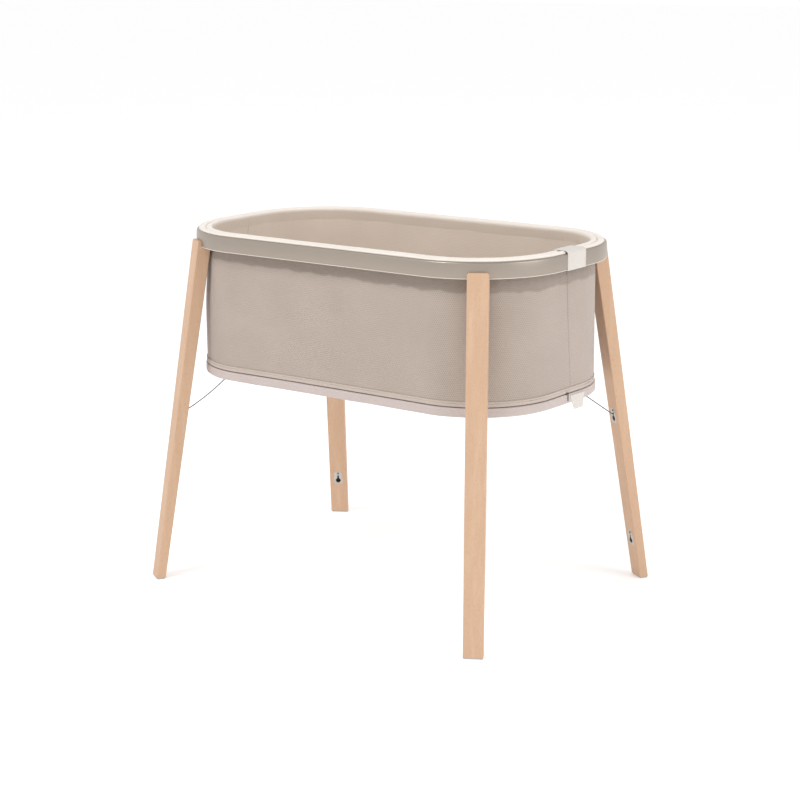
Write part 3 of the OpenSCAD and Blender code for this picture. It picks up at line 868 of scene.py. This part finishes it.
def make_base():
    """The base's soft band: a rounded profile round the loop, swollen between its edges by a
    sine of the height, with a sewn groove under its upper edge."""
    low, high = BAND_LOW.z, BAND_HIGH.z
    x0, x1 = TUCK_X + 0.05 * MM, BAND_X
    face = np.linspace(low + 2.6 * MM, high - 1.6 * MM, 16)
    x, z = outline(arc(x1 - 2.6 * MM, face[0], 2.6 * MM, -90, -18, 5), (x1, face),
                   arc(x1 - 1.6 * MM, face[-1], 1.6 * MM, 22.5, 90, 4), (x0, [high, low]))
    s = whole_span(1500)
    pull = stitch_pull(s, STITCH)
    outer = (x > x1 - 2 * MM)[None]
    groove = np.exp(-((z - high + 3.6 * MM) / (0.8 * MM)) ** 2)[None]
    height = np.clip((z - low) / (high - low), 0, 1)[None]
    bulge = 0.5 * MM * np.sin(math.pi * height) + 0.35 * MM * ripple(s, 0, 53)[:, None]
    sink = groove * (0.55 * MM - 0.15 * MM * pull)
    shape = x[None] + swell(s, low)[:, None] + outer * (bulge - sink)
    sway = 0.45 * MM * (1 + ripple(s, 0, 61)[:, None]) * (1 - height) ** 2
    band = skin("soft_band", round_loop(s, shape, z[None] + sway), wrap_u=True, wrap_v=True)
    dress(band, BAND, "base", "band_cloth", "base_band")
    stitch = loop_stitches("band_stitches", x1 - 0.2 * MM, high - 3.6 * MM)
    dress(stitch, THREAD, "base", "band_cloth")

    under_low, under_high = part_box("base_cover")
    reach = -(under_high.y - HALF_WID)
    below = [(0.02, 0.35), (0.3, 0.3), (0.6, 0.2), (0.85, 0.1), (0.985, 0.0), (1.0, 0.4)]
    above = [(1.0, 0.3), (0.99, 0.0), (0.5, 0.0), (0.02, 0.0)]
    cover = disc("underside_panel",
                 [(share, under_low.z + up * MM) for share, up in below]
                 + [(share, under_high.z - down * MM) for share, down in above],
                 -reach, belly=1.0)
    dress(cover, UNDER, "base", "band_cloth", "base_cover")
    finish_node("base_board", FIBRE)
    for corner in CORNERS:
        finish_node("anchor_" + corner, GLIDE)


def disc(name, profile, inset, rings=480, belly=0.0):
    """A filled oval: each profile row is the outline at an inset, shrunk about the middle to
    a share of its size, at a height. The first and last rows are closed by a cap."""
    share, height = np.array(profile, float).T[..., None]
    ring = whole_span(rings)
    point, normal = loop_line(ring)
    edge = point + (inset + belly * swell(ring, BAND_LOW.z)[:, None]) * normal
    return skin(name, raised(share[..., None] * edge, height), wrap_v=True, caps=True)


# ---------------------------------------------------------------- mattress
def pillow(name, inset, low, high, edge, crown, rings=420):
    """A mattress: a flat underside, a side of that edge radius, and a top that rises towards
    the middle by crown times one minus the square of the distance."""
    turn = np.linspace(-math.pi / 2, math.pi / 2, 15)
    half = (high - crown - low) / 2
    rows = [(t, low) for t in (0.01, 0.25, 0.5, 0.75, 0.9)]
    span = HALF_WID + inset
    rows += [(1 - (edge - edge * math.cos(a)) / span, low + half + half * math.sin(a))
             for a in turn]
    rows += [(t, high - crown * t * t) for t in (0.9, 0.75, 0.6, 0.45, 0.3, 0.15, 0.01)]
    return disc(name, rows, inset, rings)


def puff(piece, limit):
    """Inflates a soft piece as cloth, and caps how far any point may move."""
    remesh = piece.modifiers.new("voxels", "REMESH")
    remesh.mode = "VOXEL"
    remesh.voxel_size = 6 * MM
    graph = bpy.context.evaluated_depsgraph_get()
    fine = bpy.data.meshes.new_from_object(piece.evaluated_get(graph))
    piece.modifiers.remove(remesh)
    work = link("cloth_form", fine)
    before = np.zeros(len(fine.vertices) * 3)
    fine.vertices.foreach_get("co", before)
    cloth = work.modifiers.new("cloth", "CLOTH")
    cloth.settings.use_pressure = True
    cloth.settings.uniform_pressure_force = 4
    cloth.settings.effector_weights.gravity = 0
    cloth.settings.quality = 5
    cloth.point_cache.frame_start, cloth.point_cache.frame_end = 1, 20
    for frame_number in range(1, 21):
        bpy.context.scene.frame_set(frame_number)
    graph = bpy.context.evaluated_depsgraph_get()
    moved = work.evaluated_get(graph).to_mesh()
    after = np.zeros(len(moved.vertices) * 3)
    moved.vertices.foreach_get("co", after)
    before, after = before.reshape(-1, 3), after.reshape(-1, 3)
    step = after - before
    length = np.linalg.norm(step, axis=1, keepdims=True)
    step *= np.minimum(1, limit / np.maximum(length, 1e-9))
    step[:, 2] = np.where(step[:, 2] < 0, 0, step[:, 2])
    bpy.context.scene.frame_set(1)
    bpy.data.objects.remove(work)
    result = bpy.data.meshes.new(piece.name)
    result.from_pydata((before + step).tolist(), [],
                       [tuple(face.vertices) for face in fine.polygons])
    result.update()
    result.shade_smooth()
    old = piece.data
    piece.data = result
    bpy.data.meshes.remove(old)


def make_mattress():
    low, high = BED_LOW.z, BED_HIGH.z
    cover = pillow("mattress_jacket", BED_X - 3 * MM, low, high - 3.5 * MM, 12 * MM, 3 * MM)
    puff(cover, 3 * MM)
    subdivide(cover)
    dress(cover, SHEET, "mattress", "sheet_cloth", "mattress_cover")
    core = pillow("mattress_foam", BED_X - 12 * MM, low + 4 * MM, high - 12 * MM, 9 * MM,
                  1 * MM, 240)
    dress(core, FOAM, "mattress", "foam", "mattress_core")
    for name, z in (("upper", high - 12 * MM), ("lower", low + 8 * MM)):
        x, up = rounded(-1.2 * MM, -1.2 * MM, 1.2 * MM, 1.2 * MM, 1.1 * MM, 3)
        s = whole_span(600)
        piping = skin("mattress_piping_" + name, round_loop(s, x + BED_X - 2.0 * MM, up + z),
                      wrap_u=True, wrap_v=True)
        dress(piping, PIPING, "mattress", "sheet_cloth")


# ---------------------------------------------------------------- tabs, stays, zip puller
def make_rim_strap(path, across):
    """The flat strap folded over the rim: points in X and Z, swept straight along Y between
    two ends."""
    length = lengths(path)
    even = np.linspace(0, length[-1], max(24, int(length[-1] / (1.5 * MM))))
    x, z = (np.interp(even, length, path[:, k])[:, None] for k in (0, 1))
    y = np.linspace(*across, 40)
    sheet = skin("rim_strap", np.stack(np.broadcast_arrays(x, y, z), -1))
    thicken(sheet, 1.0 * MM)
    dress(sheet, WEBBING, "stand", "webbing", "rim_tab")


def make_tabs():
    low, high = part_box("rim_tab")
    outer = HALF_LEN + 0.75 * MM
    inner = HALF_LEN - 38.7 * MM
    top = high.z - 0.5 * MM
    path = outline((outer, [low.z + 0.4 * MM, RIM_HIGH.z - 6 * MM]),
                   arc(outer - 6 * MM, top - 6 * MM, 6 * MM, 0, 90, 6),
                   arc(inner + 4 * MM, top - 4 * MM, 4 * MM, 90, 180, 6),
                   (inner, RIM_HIGH.z - 18 * MM))
    make_rim_strap(np.stack(path, 1), (low.y, high.y))
    face = outer + 0.55 * MM
    y0, y1 = low.y + 4 * MM, high.y - 4 * MM
    z0, z1 = low.z + 4 * MM, low.z + 24 * MM
    box = (((y0, z0), (y1, z0)), ((y0, z1), (y1, z1)), ((y0, z0), (y0, z1)),
           ((y1, z0), (y1, z1)))
    for k, (start, end) in enumerate(box):
        row = stitch_line("rim_strap_stitches_%d" % k, (face, *start), (face, *end))
        dress(row, THREAD, "stand", "webbing")

    low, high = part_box("base_tab")
    x = (low.x + high.x) / 2
    u = np.linspace(0, 1, 30)[:, None]
    v = np.linspace(0, 1, 36)[None]
    left = low.y + 16 * MM * u
    right = high.y - 8 * MM * u
    y = left + (right - left) * v
    z = high.z - (high.z - low.z) * u + 0 * v
    curl = 0.5 * MM * np.sin(math.pi * u) * np.cos(TAU * (v - 0.5))
    tab = skin("pull_tab", np.stack([x + curl + 0 * y, y, z], -1), flip=True)
    thicken(tab, 1.0 * MM)
    dress(tab, WEBBING, "base", "webbing", "base_tab")
    hem = stitch_line("pull_tab_stitches", (x + 0.6 * MM, low.y + 5 * MM, high.z - 2.5 * MM),
                      (x + 0.6 * MM, high.y - 5 * MM, high.z - 2.5 * MM))
    dress(hem, THREAD, "base", "webbing")


def stitch_line(name, start, end):
    """A straight row of stitches between two points, on a face that looks along X."""
    start, run = np.array(start), np.subtract(end, start)
    length = np.linalg.norm(run)
    count = max(2, int(length / STITCH))
    t = ((np.arange(count) + 0.5) / count)[:, None]
    return thread_row(name, start + t * run, np.tile(run / length, (count, 1)),
                      np.tile([1.0, 0.0, 0.0], (count, 1)), STITCH * 0.7, 0.32 * MM)


def leg_point(corner, along, z):
    """World point of a leg's frame: along is out of the leg's outer face, z is height."""
    sx, sy = CORNERS[corner]
    return (sx * (LEG_FOOT[0] + along * math.cos(LEG_TURN)),
            sy * (LEG_FOOT[1] + along * math.sin(LEG_TURN)), z)


def face_points(corner, z, points):
    """Points of a frame on a leg's inner face, X into the wood, Y across and Z up the face,
    put in their place: turned by the face's lean, then by the leg."""
    points = np.asarray(points, float)
    lean = math.atan(INNER_SLOPE)
    along = points[..., 0] * math.cos(lean) - points[..., 2] * math.sin(lean)
    along = along - (FOOT_DEPTH + INNER_SLOPE * z)
    height = z + points[..., 0] * math.sin(lean) + points[..., 2] * math.cos(lean)
    sx, sy = CORNERS[corner]
    x = LEG_FOOT[0] + along * math.cos(LEG_TURN) - points[..., 1] * math.sin(LEG_TURN)
    y = LEG_FOOT[1] + along * math.sin(LEG_TURN) + points[..., 1] * math.cos(LEG_TURN)
    return np.stack([sx * x, sy * y, height], -1)


def make_keyhole_cups():
    """A black cup lines each pocket behind a keyhole: a long rounded outline carried down
    the pocket's wall and closed over its floor. Rows are its share and its depth in mm."""
    y, up = rounded(-5.9 * MM, -5.9 * MM, 5.9 * MM, KEY_RUN + 5.9 * MM, 5.85 * MM, 7)
    middle = KEY_RUN / 2
    rows = [(0.02, 9.3), (0.9, 9.3), (0.94, 8.6), (0.94, 1.75), (1.0, 1.75), (1.0, 9.85),
            (0.02, 9.85)]
    for corner in CORNERS:
        for level, z in (("upper", KEY_HIGH), ("lower", KEY_LOW)):
            local = [np.stack([np.full(len(y), depth * MM), share * y,
                               middle + share * (up - middle)], -1)
                     for share, depth in rows]
            cup = skin("keyhole_cup_%s_%s" % (level, corner), face_points(corner, z, local),
                       wrap_v=True, caps=True)
            dress(cup, PLUG, "stand", "plug_plastic")


def make_stays():
    """Each stay runs straight or hangs by a parabola: the line from the leg's inner face to
    the base less four times the sag times u times one minus u."""
    face = -(FOOT_DEPTH + INNER_SLOPE * SEAT_Z)
    lean = math.atan(INNER_SLOPE)
    for corner in CORNERS:
        sag = 5 * MM if corner.endswith("left") else 0.0
        u = np.linspace(0, 1, 90)
        along = face - 3 * MM - u * (STAY_REACH - 3 * MM)
        z = SEAT_Z - 0.5 * MM + u * (BASE_Z - 4.3 * MM - SEAT_Z) - 4 * sag * u * (1 - u)
        run = np.linspace(0, 1, 8)[:, None]
        start = np.array([[face + 3 * MM * math.cos(lean), SEAT_Z + 3 * MM * math.sin(lean)]])
        first = np.array([[along[0], z[0]]])
        path = np.concatenate([start + run[:-1] * (first - start), np.stack([along, z], 1)])
        route = np.array([leg_point(corner, a, h) for a, h in path])
        cable = tube("stay_cable_" + corner, route, CABLE_R, 24, 6, 0.10, 11 * MM)
        cable.data.materials.append(ROPE_STEEL)
        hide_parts("stay_" + corner)
        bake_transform(cable)
        finish_node("stop_" + corner, DARK_STEEL)


def block(name, low, high, radius):
    """A solid block with round edges: a rounded rectangle in X and Y carried up Z, drawn in
    by a quarter circle at both ends."""
    low, high = np.array(low, float), np.array(high, float)
    turn = np.linspace(0, math.pi / 2, 4)
    pull = np.concatenate([radius * (1 - np.sin(turn)), radius * (1 - np.sin(turn))[::-1]])
    z = np.concatenate([low[2] + radius * (1 - np.cos(turn)),
                        high[2] - radius * (1 - np.cos(turn))[::-1]])
    rings = []
    for inset, height in zip(pull, z):
        corner = max(radius - inset * 0.5, radius * 0.4)
        x, y = rounded(low[0] + inset, low[1] + inset, high[0] - inset, high[1] - inset,
                       min(corner, (high[0] - low[0]) / 2 - inset - 1e-5,
                           (high[1] - low[1]) / 2 - inset - 1e-5), 3)
        rings.append(np.stack([x, y, np.full(len(x), height)], 1))
    return skin(name, np.stack(rings), wrap_v=True, caps=True)


def make_zip_puller():
    low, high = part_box("zip_slider")
    body = block("zip_slider_body", (low.x, low.y, low.z), (low.x + 3.3 * MM, high.y, high.z),
                 0.6 * MM)
    dress(body, DARK_STEEL, "stand", "zip_metal", "zip_slider")
    for k, y in enumerate((low.y + 1.6 * MM, low.y + 5.4 * MM)):
        ear = block("zip_slider_ear_%d" % k, (low.x + 3.1 * MM, y, low.z + 0.2 * MM),
                    (high.x, y + 1 * MM, high.z), 0.3 * MM)
        dress(ear, DARK_STEEL, "stand", "zip_metal")
    low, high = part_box("zip_pull")
    mid = (low.x + high.x) / 2
    tag = block("zip_tag_plate", (mid - 0.5 * MM, low.y + 0.1 * MM, low.z),
                (mid + 0.5 * MM, high.y - 0.1 * MM, high.z - 1.0 * MM), 0.35 * MM)
    dress(tag, DARK_STEEL, "zip_tag", "zip_metal", "zip_pull")
    pin = tube("zip_tag_pin", [(mid, y, high.z - 0.7 * MM)
                               for y in (low.y, (low.y + high.y) / 2, high.y)], 0.55 * MM)
    dress(pin, DARK_STEEL, "zip_tag", "zip_metal")


# ---------------------------------------------------------------- wood and hardware
def make_stand():
    for corner, (sx, sy) in CORNERS.items():
        turn = -math.atan2(sy * math.sin(LEG_TURN), sx * math.cos(LEG_TURN))
        finish_node("leg_" + corner, beech("beech_" + corner, (0, 0, turn)))
        finish_node("foot_" + corner, GLIDE)
        finish_node("upper_plate_" + corner, STEEL)
        finish_node("lower_plate_" + corner, STEEL)
    for name, material in (("plate_screws", DARK_STEEL), ("leg_bolts", DARK_STEEL),
                           ("leg_inserts", BRASS), ("rim_joiner_left", PLUG),
                           ("rim_joiner_right", PLUG)):
        finish_node(name, material)


for make in (studio, make_rim, make_walls, make_binding, make_hem, make_zip, make_base,
             make_mattress, make_tabs, make_keyhole_cups, make_stays, make_zip_puller,
             make_stand):
    make()
